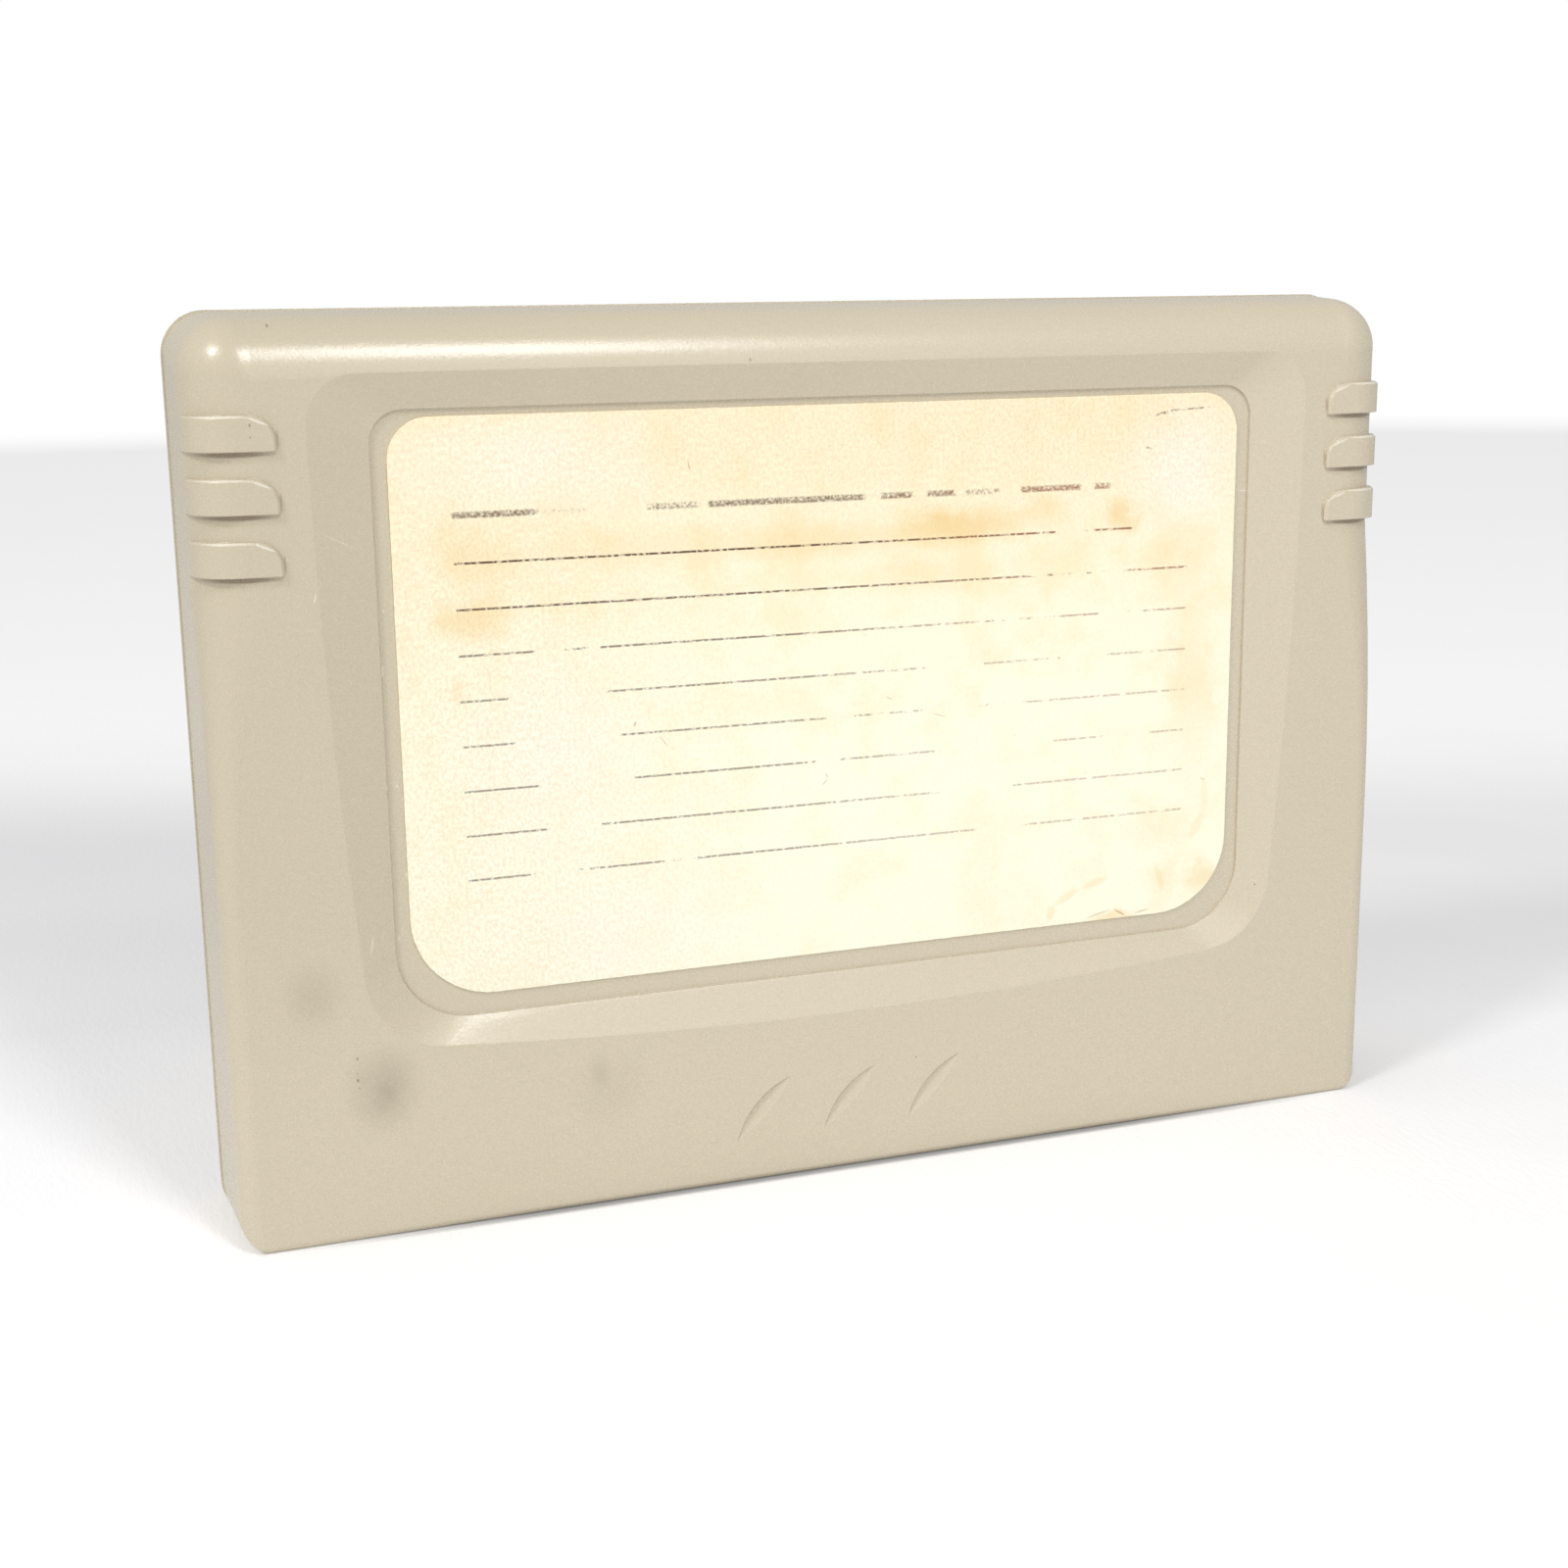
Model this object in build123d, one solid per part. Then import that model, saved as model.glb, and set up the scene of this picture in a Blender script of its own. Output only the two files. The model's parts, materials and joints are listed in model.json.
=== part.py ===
"""Plug-in memory card for a game console: two moulded shells round a circuit board, with a paper label.

Millimetres. Z is up, the labelled face looks along -Y, and the card stands on its connector edge.
The origin is at the middle of that edge's underside, halfway through the card's thickness.
"""
import os
from math import asin, atan, cos, degrees, radians, sin, tan

from build123d import *

# Housing outside
body_width = 110.2
body_height = 77.5
front_depth = 7.8
rear_depth = 8.2
parting = 2.4
draft = 3.0
seam_depth = 0.1
top_corner_radius = 3.5
corner_margin = 0.2
bottom_corner_radius = 3.0
grip_roundover = 5.0
slot_roundover = 1.75
rear_roundover = 2.6
rim_roundover = 0.6
taper_bottom = 30.0
taper_top = 56.4
taper_steps = 5

# Housing inside
wall = 2.4
lip_height = 1.0
fit_clearance = 0.15
backing_margin = 1.0

# Grip ribs, stacked on each side below the top corners
rib_count = 3
rib_pitch = 4.9
rib_width = 2.8
rib_length = 7.4
rib_rise = 0.4
rib_roundover = 3.85
rib_corner_radius = 2.0
rib_edge = 0.2
lowest_rib = 56.9

# Label, its seat and the bevelled frame round the seat
label_width = 78.0
label_height = 48.7
label_thickness = 0.2
label_bottom = 20.25
label_top_radius = 2.5
label_bottom_radius = 5.6
seat_side_margin = 1.3
seat_top_margin = 0.6
seat_bottom_margin = 1.8
seat_top_radius = 2.7
seat_bottom_radius = 6.2
seat_depth = 0.25
bevel_drop = 1.2
bevel_top_width = 3.0
bevel_side_width = 5.1
bevel_foot_side_width = 2.3
bevel_foot_width = 1.5
bevel_sag = 2.1
bevel_top_radius = 4.2
bevel_bottom_radius = 7.0

# Leaf marks near the connector edge
mark_count = 3
mark_pitch = 8.3
mark_length = 7.5
mark_upper_width = 0.95
mark_lower_width = 0.5
mark_depth = 0.4
mark_angle = 47.0
mark_height = 6.75

# Circuit board and its edge contacts
board_side_gap = 13.1
board_height = 60.0
board_thickness = 1.6
board_recess = 3.0
board_corner_chamfer = 1.0
contact_side_margin = 2.0
contact_pitch = 2.0
contact_width = 1.4
contact_length = 8.0
contact_thickness = 0.1
contact_edge_gap = 0.8

# Mouth round the connector edge of the board
mouth_side_gap = 2.6
mouth_depth = 13.0
shelf_thickness = 2.0

# Posts that clamp the board, with pins in its holes
post_width = 6.0
pin_diameter = 2.8
post_edge_inset = 5.0
post_top_inset = 5.0

# Case screws, their bosses and the wells they sit in
screw_diameter = 2.6
screw_length = 7.0
screw_head_diameter = 5.0
screw_head_height = 1.8
screw_head_edge = 0.6
screw_recess_width = 0.7
screw_recess_length = 2.8
screw_recess_depth = 0.9
screw_height = 32.0
boss_wall = 1.7
boss_board_gap = 0.9
well_floor_thickness = 2.0
well_clearance = 0.5

# Chips on the rear face of the board: moulded bodies and bent leads
chip_standoff = 0.1
chip_edge = 0.25
lead_thickness = 0.2
lead_reach = 0.5
lead_foot = 0.7
memory_width = 20.6
memory_height = 13.2
memory_thickness = 2.3
memory_lead_count = 16
memory_pitch = 1.27
memory_lead_width = 0.4
memory_place = (-14.0, 46.0)
controller_width = 10.0
controller_height = 10.0
controller_thickness = 2.2
controller_lead_count = 11
controller_pitch = 0.8
controller_lead_width = 0.35
controller_place = (20.0, 44.0)
logic_width = 8.7
logic_height = 4.0
logic_thickness = 1.5
logic_lead_count = 7
logic_pitch = 1.27
logic_lead_width = 0.4
logic_places = ((-20.0, 27.0), (-5.0, 27.0))
detector_width = 4.5
detector_height = 2.5
detector_thickness = 1.5
detector_lead_count = 3
detector_pitch = 1.5
detector_lead_width = 0.4
detector_place = (26.0, 27.0)

# Passive parts soldered flat on the rear face of the board
bulk_width = 7.3
bulk_height = 4.3
bulk_thickness = 2.9
bulk_end = 0.3
bulk_place = (13.0, 27.0)
ceramic_width = 3.2
ceramic_height = 1.6
ceramic_thickness = 1.2
ceramic_end = 0.4
ceramic_places = ((-32.0, 34.5), (-14.0, 34.5), (4.0, 34.5), (33.5, 44.0), (-20.0, 20.5), (-5.0, 20.5))
resistor_width = 2.0
resistor_height = 1.25
resistor_thickness = 0.5
resistor_end = 0.35
resistor_count = 4
resistor_pitch = 3.6
resistor_row = (20.0, 58.0)

# How far an edge may lie from a plane and still count as on it
on_plane = 0.01

# Places worked out from the sizes above
front_face = -front_depth
half_width = body_width / 2
inner_half_width = half_width - wall
front_inner = front_face + wall
rear_inner = rear_depth - wall
board_width = body_width - 2 * board_side_gap
contact_count = int((board_width - 2 * contact_side_margin) / contact_pitch)
board_front = -board_thickness / 2
board_rear = board_thickness / 2
board_top = board_recess + board_height
shelf_top = mouth_depth + shelf_thickness
mouth_half_width = board_width / 2 + mouth_side_gap
label_top = label_bottom + label_height
seat_half_width = label_width / 2 + seat_side_margin
seat_bottom = label_bottom - seat_bottom_margin
seat_top = label_top + seat_top_margin
bevel_top = seat_top + bevel_top_width
bevel_half_width = seat_half_width + bevel_side_width
bevel_floor = front_face + bevel_drop
seat_floor = bevel_floor + seat_depth
backing_face = seat_floor + wall
pin_bore = pin_diameter + 2 * fit_clearance
screw_bore = screw_diameter + 2 * fit_clearance
well_diameter = screw_head_diameter + 2 * well_clearance
column_width = well_diameter + 2 * boss_wall
boss_width = screw_bore + 2 * boss_wall
screw_offset = board_width / 2 + boss_board_gap + column_width / 2
post_x = board_width / 2 - post_edge_inset
post_z = board_top - post_top_inset
post_places = [(-post_x, post_z), (post_x, post_z)]
well_floor = parting + well_floor_thickness
screw_places = [(-screw_offset, screw_height), (screw_offset, screw_height)]


def slab(sketch, y_from, y_to):
    """A sketch drawn in X and Z, as a solid from one Y to a larger one."""
    return extrude(Plane.XZ.offset(-y_to) * sketch, amount=y_to - y_from)


def span_box(x_range, y_range, z_range):
    """A box between two values on each axis."""
    spans = (x_range, y_range, z_range)
    middle = [(low + high) / 2 for low, high in spans]
    return Pos(*middle) * Box(*[high - low for low, high in spans])


def rod(place, diameter, y_from, y_to):
    """A round rod along Y at a place given as X and Z."""
    x, z = place
    return Pos(x, (y_from + y_to) / 2, z) * Rot(90, 0, 0) * Cylinder(diameter / 2, y_to - y_from)


def block(place, width, y_from, y_to):
    """A square block along Y at a place given as X and Z."""
    x, z = place
    return Pos(x, (y_from + y_to) / 2, z) * Box(width, y_to - y_from, width)


def rounded_panel(half, bottom, top, bottom_radius, top_radius):
    """A panel in X and Z with one radius at its top corners and one at its bottom corners."""
    panel = Pos(0, (bottom + top) / 2) * Rectangle(2 * half, top - bottom)
    panel = fillet(panel.vertices().group_by(Axis.Y)[-1], top_radius)
    return fillet(panel.vertices().group_by(Axis.Y)[0], bottom_radius)


def room_outline(inset):
    """The room above the shelf seen from the front, with side and top walls of the given thickness."""
    room = Pos(0, (shelf_top + body_height - inset) / 2)
    room = room * Rectangle(body_width - 2 * inset, body_height - inset - shelf_top)
    return fillet(room.vertices().group_by(Axis.Y)[-1], top_corner_radius - inset)


def level_section(height, inset, depth, roundover):
    """A level section of one half of the housing: leaning sides and two rounded outer corners."""
    half = half_width - inset
    lean = depth * tan(radians(draft))
    corners = [(-half, 0), (half, 0), (half - lean, -depth), (lean - half, -depth)]
    section = make_face(Polyline(*corners, close=True))
    if roundover:
        section = fillet(section.vertices().group_by(Axis.Y)[0], roundover)
    return Plane.XY.offset(height) * section


def corner_sketch(side, corner, radius):
    """A square round a corner point less the quarter circle that the rounded corner keeps.

    side is the way out from the middle, in X and Z.
    """
    square = Pos(*corner) * Rectangle(2 * radius, 2 * radius)
    return square - Pos(corner[0] - side[0] * radius, corner[1] - side[1] * radius) * Circle(radius)


def top_corners(inset, depth, roundover):
    """What rounding takes off the top corners, more at the face than at the parting plane."""
    cuts = []
    face_radius = max(top_corner_radius, roundover + corner_margin)
    for side in (-1, 1):
        sections = []
        for level, radius in ((0, top_corner_radius), (depth, face_radius)):
            lean = inset + level * tan(radians(draft))
            corner = (side * (half_width - lean), body_height - lean)
            sketch = Plane.XZ.offset(level) * corner_sketch((side, 1), corner, radius)
            sections.append(sketch.face())
        cuts.append(loft(sections, ruled=True))
    return cuts


def foot_corners(inset, depth):
    """What rounding takes off the bottom corners, along the leaning sides."""
    cuts = []
    for side in (-1, 1):
        corner = slab(corner_sketch((side, -1), (0, 0), bottom_corner_radius), -2 * depth, depth)
        cuts.append(Pos(side * (half_width - inset), 0, 0) * Rot(0, 0, -side * draft) * corner)
    return cuts


def half_form(inset, depth, upper_roundover, lower_roundover):
    """One half of the housing as a solid on the -Y side of the parting plane.

    The outer edge has a constant roundover along the top and the upper sides. Below, it eases to
    the lower roundover, which runs straight down to the connector edge.
    """
    top = body_height - inset
    upright = [(0, 0), (0, top), (-depth, top - depth * tan(radians(draft))), (-depth, 0)]
    upright = extrude(Plane.YZ * make_face(Polyline(*upright, close=True)), amount=body_width, both=True)
    crown = extrude(level_section(taper_top, inset, depth, 0), amount=body_height) & upright
    crown -= top_corners(inset, depth, upper_roundover)
    outer_edges = crown.edges().filter_by(lambda edge: abs(edge.center().Y + depth) < on_plane)
    outer_edges = outer_edges.filter_by(lambda edge: edge.center().Z > taper_top + on_plane)
    crown = fillet(outer_edges, upper_roundover)
    skirt = extrude(level_section(0, inset, depth, lower_roundover), amount=taper_bottom)
    sections = []
    for step in range(taper_steps + 1):
        share = step / taper_steps
        roundover = lower_roundover + (upper_roundover - lower_roundover) * share**2
        height = taper_bottom + (taper_top - taper_bottom) * share
        sections.append(level_section(height, inset, depth, roundover))
    if upper_roundover == lower_roundover:
        middle = extrude(sections[0], amount=taper_top - taper_bottom)
    else:
        middle = loft(sections, ruled=True)
    profile = Pos(-depth / 2, body_height / 2) * Rectangle(depth, body_height)
    lower_corners = profile.vertices().group_by(Axis.Y)[0]
    profile = fillet(lower_corners.sort_by(Axis.X)[0], rim_roundover)
    skirt = (skirt - foot_corners(inset, depth)) & extrude(Plane.YZ * profile, amount=half_width, both=True)
    return crown + middle + skirt


def bevel_outline():
    """The frame's outer edge: bowed sides that close in downwards, and a sagging lower edge."""
    foot = seat_bottom - bevel_foot_width
    foot_half = seat_half_width + bevel_foot_side_width
    with BuildSketch() as outline:
        with BuildLine():
            Line((-bevel_half_width, bevel_top), (bevel_half_width, bevel_top))
            TangentArc((bevel_half_width, bevel_top), (foot_half, foot), tangent=(0, -1))
            ThreePointArc((foot_half, foot), (0, foot - bevel_sag), (-foot_half, foot))
            TangentArc((-bevel_half_width, bevel_top), (-foot_half, foot), tangent=(0, -1))
        make_face()
        fillet(outline.vertices().group_by(Axis.Y)[-1], bevel_top_radius)
        fillet(outline.vertices().group_by(Axis.Y)[0], bevel_bottom_radius)
    return outline.sketch


def label_recess():
    """What the bevelled frame and the label's seat take out of the front."""
    seat = rounded_panel(seat_half_width, seat_bottom, seat_top, seat_bottom_radius, seat_top_radius)
    rim = Plane.XZ.offset(-front_face) * bevel_outline()
    foot = Plane.XZ.offset(-bevel_floor) * seat
    return loft([rim.face(), foot.face()], ruled=True) + slab(seat, bevel_floor, seat_floor)


def grip_ribs():
    """The ribs that wrap the front edge on both sides, flush with the sides."""
    front = front_face - rib_rise
    top = lowest_rib + (rib_count - 1) * rib_pitch + rib_width
    section = level_section(0, seam_depth, front_depth + parting + rib_rise, rib_roundover)
    sleeve = Pos(0, parting, 0) * extrude(section, amount=top)
    ribs = []
    for index in range(rib_count):
        bottom = lowest_rib + index * rib_pitch
        for side in (-1, 1):
            outline = Pos(side * (half_width - rib_length / 2), bottom + rib_width / 2)
            outline = outline * Rectangle(rib_length, rib_width)
            upper_corners = outline.vertices().group_by(Axis.Y)[-1].sort_by(Axis.X)
            outline = fillet(upper_corners[-1 if side < 0 else 0], rib_corner_radius)
            rib = (slab(outline, front, front_face + grip_roundover) & sleeve).solid()
            edges = rib.edges().filter_by(lambda edge: abs(edge.center().Y - front) < on_plane)
            upper = edges.filter_by(lambda edge: edge.center().Z > bottom + rib_width / 2)
            ribs.append(chamfer(upper, rib_edge))
    return ribs


def leaf_marks():
    """Slanted leaf-shaped hollows, as the rim of a tilted disc with a conical underside leaves them.

    A steep wall follows the upper edge, and the floor rises from its foot to the lower edge.
    """
    tilt = asin(2 * mark_depth / mark_upper_width) / 2
    reach = mark_upper_width * cos(tilt)
    disc_radius = mark_length**2 / (8 * reach) + reach / 2
    cone_angle = atan(tan(tilt) * mark_lower_width / (mark_upper_width + mark_lower_width))
    cone_height = disc_radius * tan(cone_angle)
    low, high = (Align.CENTER, Align.CENTER, Align.MAX), (Align.CENTER, Align.CENTER, Align.MIN)
    disc = Cone(0, disc_radius, cone_height, align=low) + Cylinder(disc_radius, mark_length, align=high)
    disc = Rot(-degrees(tilt), 0, 0) * Pos(0, reach - disc_radius, 0) * disc
    along = (cos(radians(mark_angle)), 0, sin(radians(mark_angle)))
    marks = []
    for index in range(mark_count):
        x = (index - (mark_count - 1) / 2) * mark_pitch
        place = Plane((x, front_face, mark_height), x_dir=along, z_dir=(0, -1, 0))
        marks.append(place * disc)
    return marks


def hollow(form, y_range):
    """Takes the inside out of one half: the room, the mouth and the pockets beside the mouth."""
    form -= slab(room_outline(wall), *y_range)
    form -= span_box((-mouth_half_width, mouth_half_width), y_range, (0, mouth_depth))
    for side in (-1, 1):
        edges = sorted((side * (mouth_half_width + wall), side * inner_half_width))
        form -= span_box(edges, y_range, (wall, mouth_depth))
    return form


def lip_ring(outer_inset):
    """The ring between an outline inside the wall and the room, round the sides and the top."""
    return room_outline(outer_inset) - room_outline(wall)


def front_shell():
    """The labelled half, with the board's front posts and the screw bosses."""
    form = half_form(seam_depth, front_depth + parting, grip_roundover, slot_roundover)
    form = Pos(0, parting, 0) * form + grip_ribs()
    form -= label_recess()
    form -= leaf_marks()
    shell = hollow(form, (front_inner, parting))
    backing_height = bevel_top + backing_margin - shelf_top
    backing = Pos(0, shelf_top + backing_height / 2)
    backing = backing * Rectangle(2 * (bevel_half_width + backing_margin), backing_height)
    shell += slab(backing & room_outline(wall), front_inner, backing_face)
    shell += [block(place, post_width, front_inner, board_front) for place in post_places]
    shell += [block(place, boss_width, front_inner, parting) for place in screw_places]
    screw_end = well_floor - screw_length - fit_clearance
    shell -= [rod(place, screw_bore, screw_end, parting) for place in screw_places]
    shell -= slab(lip_ring(wall / 2), parting - lip_height - fit_clearance, parting)
    board_slot = board_width / 2 + fit_clearance
    slot_depth = (board_front - fit_clearance, parting)
    return shell - span_box((-board_slot, board_slot), slot_depth, (mouth_depth, shelf_top))


def rear_shell():
    """The plain half, with the board's rear posts and pins, the screw wells and a tongue on its shelf."""
    form = half_form(0, rear_depth - parting, rear_roundover, rear_roundover)
    shell = hollow(Pos(0, parting, 0) * mirror(form, about=Plane.XZ), (parting, rear_inner))
    shell += slab(lip_ring(wall / 2 + fit_clearance), parting - lip_height, parting)
    shell += [block(place, post_width, board_rear, rear_inner) for place in post_places]
    pin_end = board_front + fit_clearance
    shell += [rod(place, pin_diameter, pin_end, board_rear) for place in post_places]
    shell += [block(place, column_width, parting, rear_inner) for place in screw_places]
    shell -= [rod(place, well_diameter, well_floor, rear_depth) for place in screw_places]
    shell -= [rod(place, screw_bore, parting, well_floor) for place in screw_places]
    tongue = board_width / 2
    tongue_depth = (board_rear + fit_clearance, rear_inner)
    return shell + span_box((-tongue, tongue), tongue_depth, (mouth_depth, shelf_top))


def label():
    """The paper label on the floor of its seat."""
    sheet = rounded_panel(label_width / 2, label_bottom, label_top, label_bottom_radius, label_top_radius)
    return slab(sheet, seat_floor - label_thickness, seat_floor)


def case_screws():
    """Pan-head screws with a cross recess, heads on the floors of the wells."""
    head = Cylinder(screw_head_diameter / 2, screw_head_height, align=(Align.CENTER, Align.CENTER, Align.MIN))
    head = chamfer(head.edges().group_by(Axis.Z)[-1], screw_head_edge)
    recess_height = screw_head_height - screw_recess_depth / 2
    bar = Box(screw_recess_length, screw_recess_width, screw_recess_depth)
    head -= Pos(0, 0, recess_height) * bar
    head -= Pos(0, 0, recess_height) * Rot(0, 0, 90) * bar
    screw = head + Pos(0, 0, -screw_length / 2) * Cylinder(screw_diameter / 2, screw_length)
    return [Pos(x, well_floor, z) * Rot(-90, 0, 0) * screw for x, z in screw_places]


def circuit_board():
    """The board, with chamfered corners at its connector edge and holes for the pins."""
    sheet = Pos(0, board_recess + board_height / 2) * Rectangle(board_width, board_height)
    sheet = chamfer(sheet.vertices().group_by(Axis.Y)[0], board_corner_chamfer)
    board = slab(sheet, board_front, board_rear)
    return board - [rod(place, pin_bore, board_front, board_rear) for place in post_places]


def edge_contacts(y_range):
    """One row of flat contacts at the connector edge."""
    low = board_recess + contact_edge_gap
    row = []
    for index in range(contact_count):
        x = (index - (contact_count - 1) / 2) * contact_pitch
        x_range = (x - contact_width / 2, x + contact_width / 2)
        row.append(span_box(x_range, y_range, (low, low + contact_length)))
    return row


def chip_body(place, width, height, thickness):
    """A moulded chip body with a bevelled upper edge."""
    x, z = place
    base = board_rear + chip_standoff
    y_range = (base, base + thickness)
    body = span_box((x - width / 2, x + width / 2), y_range, (z - height / 2, z + height / 2))
    return chamfer(body.faces().sort_by(Axis.Y)[-1].edges(), chip_edge)


def lead_row(place, reach, across, thickness, count, pitch, lead_width):
    """A row of bent leads along one side of a chip.

    reach is the way from the chip's middle to that side and across the way along it, in X and Z.
    """
    x, z = place
    rise = chip_standoff + thickness / 2
    low, high = rise - lead_thickness / 2, rise + lead_thickness / 2
    tip = lead_reach + lead_foot
    bend = lead_reach - lead_thickness
    points = [(0, high), (lead_reach, lead_thickness), (tip, lead_thickness), (tip, 0), (bend, 0), (0, low)]
    outward = Vector(reach[0], 0, reach[1])
    along = Vector(across[0], 0, across[1])
    leads = []
    for index in range(count):
        origin = Vector(x, board_rear, z) + outward + along * ((index - (count - 1) / 2) * pitch)
        side = Plane(origin, x_dir=outward, z_dir=outward.cross(Vector(0, 1, 0)))
        leads.append(extrude(side * make_face(Polyline(*points, close=True)), lead_width / 2, both=True))
    return leads


def upper_and_lower_leads(place, height, thickness, count, pitch, lead_width):
    """The lead rows along a chip's upper and lower sides."""
    rows = []
    for side in (-1, 1):
        rows += lead_row(place, (0, side * height / 2), (1, 0), thickness, count, pitch, lead_width)
    return rows


def side_leads(place, width, thickness, count, pitch, lead_width):
    """The lead rows along a chip's left and right sides."""
    rows = []
    for side in (-1, 1):
        rows += lead_row(place, (side * width / 2, 0), (0, 1), thickness, count, pitch, lead_width)
    return rows


def block_part(place, width, height, thickness, end):
    """The middle of a two-ended part soldered flat on the board, and its two end caps."""
    x, z = place
    y_range = (board_rear, board_rear + thickness)
    z_range = (z - height / 2, z + height / 2)
    inner = width / 2 - end
    body = span_box((x - inner, x + inner), y_range, z_range)
    left = span_box((x - width / 2, x - inner), y_range, z_range)
    right = span_box((x + inner, x + width / 2), y_range, z_range)
    return body, [left, right]


def save(name, solids):
    """Writes one sub-part, a single solid or a group of separate ones."""
    shape = Compound([item.solid() for item in solids]) if isinstance(solids, list) else solids
    export_step(shape, f"parts/{name}.step")


os.makedirs("parts", exist_ok=True)

save("front_shell", front_shell().solid())
save("rear_shell", rear_shell().solid())
save("label", label().solid())
save("case_screws", case_screws())
save("circuit_board", circuit_board().solid())
save("front_contacts", edge_contacts((board_front - contact_thickness, board_front)))
save("rear_contacts", edge_contacts((board_rear, board_rear + contact_thickness)))

save("memory_chip", chip_body(memory_place, memory_width, memory_height, memory_thickness).solid())
memory_lead_sizes = (memory_thickness, memory_lead_count, memory_pitch, memory_lead_width)
save("memory_chip_leads", upper_and_lower_leads(memory_place, memory_height, *memory_lead_sizes))

controller_body = chip_body(controller_place, controller_width, controller_height, controller_thickness)
save("controller_chip", controller_body.solid())
controller_pins = (controller_lead_count, controller_pitch, controller_lead_width)
controller_rows = upper_and_lower_leads(
    controller_place, controller_height, controller_thickness, *controller_pins
)
controller_rows += side_leads(controller_place, controller_width, controller_thickness, *controller_pins)
save("controller_chip_leads", controller_rows)

logic_bodies = [chip_body(place, logic_width, logic_height, logic_thickness) for place in logic_places]
save("logic_chips", logic_bodies)
logic_rows = []
for logic_place in logic_places:
    logic_lead_sizes = (logic_thickness, logic_lead_count, logic_pitch, logic_lead_width)
    logic_rows += upper_and_lower_leads(logic_place, logic_height, *logic_lead_sizes)
save("logic_chip_leads", logic_rows)

detector_body = chip_body(detector_place, detector_width, detector_height, detector_thickness)
save("voltage_detector", detector_body.solid())
detector_lead_sizes = (detector_thickness, detector_lead_count, detector_pitch, detector_lead_width)
detector_reach = (0, -detector_height / 2)
save("voltage_detector_leads", lead_row(detector_place, detector_reach, (1, 0), *detector_lead_sizes))

bulk_body, bulk_ends = block_part(bulk_place, bulk_width, bulk_height, bulk_thickness, bulk_end)
save("bulk_capacitor", bulk_body.solid())
save("bulk_capacitor_terminals", bulk_ends)

ceramic_bodies = []
ceramic_ends = []
for ceramic_place in ceramic_places:
    body, ends = block_part(ceramic_place, ceramic_width, ceramic_height, ceramic_thickness, ceramic_end)
    ceramic_bodies.append(body)
    ceramic_ends += ends
save("ceramic_capacitors", ceramic_bodies)
save("ceramic_capacitor_ends", ceramic_ends)

resistor_bodies = []
resistor_ends = []
for index in range(resistor_count):
    shift = (index - (resistor_count - 1) / 2) * resistor_pitch
    place = (resistor_row[0] + shift, resistor_row[1])
    body, ends = block_part(place, resistor_width, resistor_height, resistor_thickness, resistor_end)
    resistor_bodies.append(body)
    resistor_ends += ends
save("chip_resistors", resistor_bodies)
save("chip_resistor_ends", resistor_ends)
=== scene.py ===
"""A console memory card on a white cloth: materials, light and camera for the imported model.

Metres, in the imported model's frame. Places on the front are given in millimetres from the
label's lower left corner, to the right and up.
"""

import json
from math import cos, hypot, radians, sin

import bmesh
import bpy
from mathutils import Matrix, Vector, noise


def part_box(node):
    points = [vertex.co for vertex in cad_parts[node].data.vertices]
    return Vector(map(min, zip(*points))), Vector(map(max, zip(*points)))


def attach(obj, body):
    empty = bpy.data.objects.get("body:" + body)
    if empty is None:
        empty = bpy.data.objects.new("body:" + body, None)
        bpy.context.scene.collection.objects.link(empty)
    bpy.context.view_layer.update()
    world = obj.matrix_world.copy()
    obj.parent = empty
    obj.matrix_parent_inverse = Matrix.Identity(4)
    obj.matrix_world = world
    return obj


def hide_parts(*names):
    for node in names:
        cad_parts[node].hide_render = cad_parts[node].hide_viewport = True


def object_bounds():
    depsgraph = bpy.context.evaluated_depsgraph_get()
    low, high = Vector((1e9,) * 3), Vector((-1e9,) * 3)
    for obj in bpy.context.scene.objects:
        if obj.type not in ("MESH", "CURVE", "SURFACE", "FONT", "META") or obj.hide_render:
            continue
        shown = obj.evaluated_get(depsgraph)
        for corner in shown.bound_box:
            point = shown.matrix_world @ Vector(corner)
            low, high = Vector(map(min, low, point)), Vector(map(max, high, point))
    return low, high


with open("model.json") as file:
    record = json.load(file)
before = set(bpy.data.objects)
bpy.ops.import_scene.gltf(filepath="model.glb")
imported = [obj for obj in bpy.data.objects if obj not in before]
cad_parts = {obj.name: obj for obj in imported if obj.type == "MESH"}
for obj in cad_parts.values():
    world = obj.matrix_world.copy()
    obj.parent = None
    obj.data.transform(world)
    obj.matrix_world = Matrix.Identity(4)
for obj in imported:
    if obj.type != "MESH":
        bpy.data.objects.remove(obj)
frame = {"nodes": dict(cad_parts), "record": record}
cad_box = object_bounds()
label_low, label_high = (Vector(corner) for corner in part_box("label"))
frame_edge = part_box("front_shell")[0][1]
MM = 0.001

# Camera
CAMERA_PLACE = Vector((-69.24, -183.85, 78.0)) * MM
CAMERA_HEADING = 19.75
CAMERA_PITCH = -12.53
CAMERA_ROLL = -0.76
CAMERA_LENS = 50.42
SENSOR_WIDTH = 36.0

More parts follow.
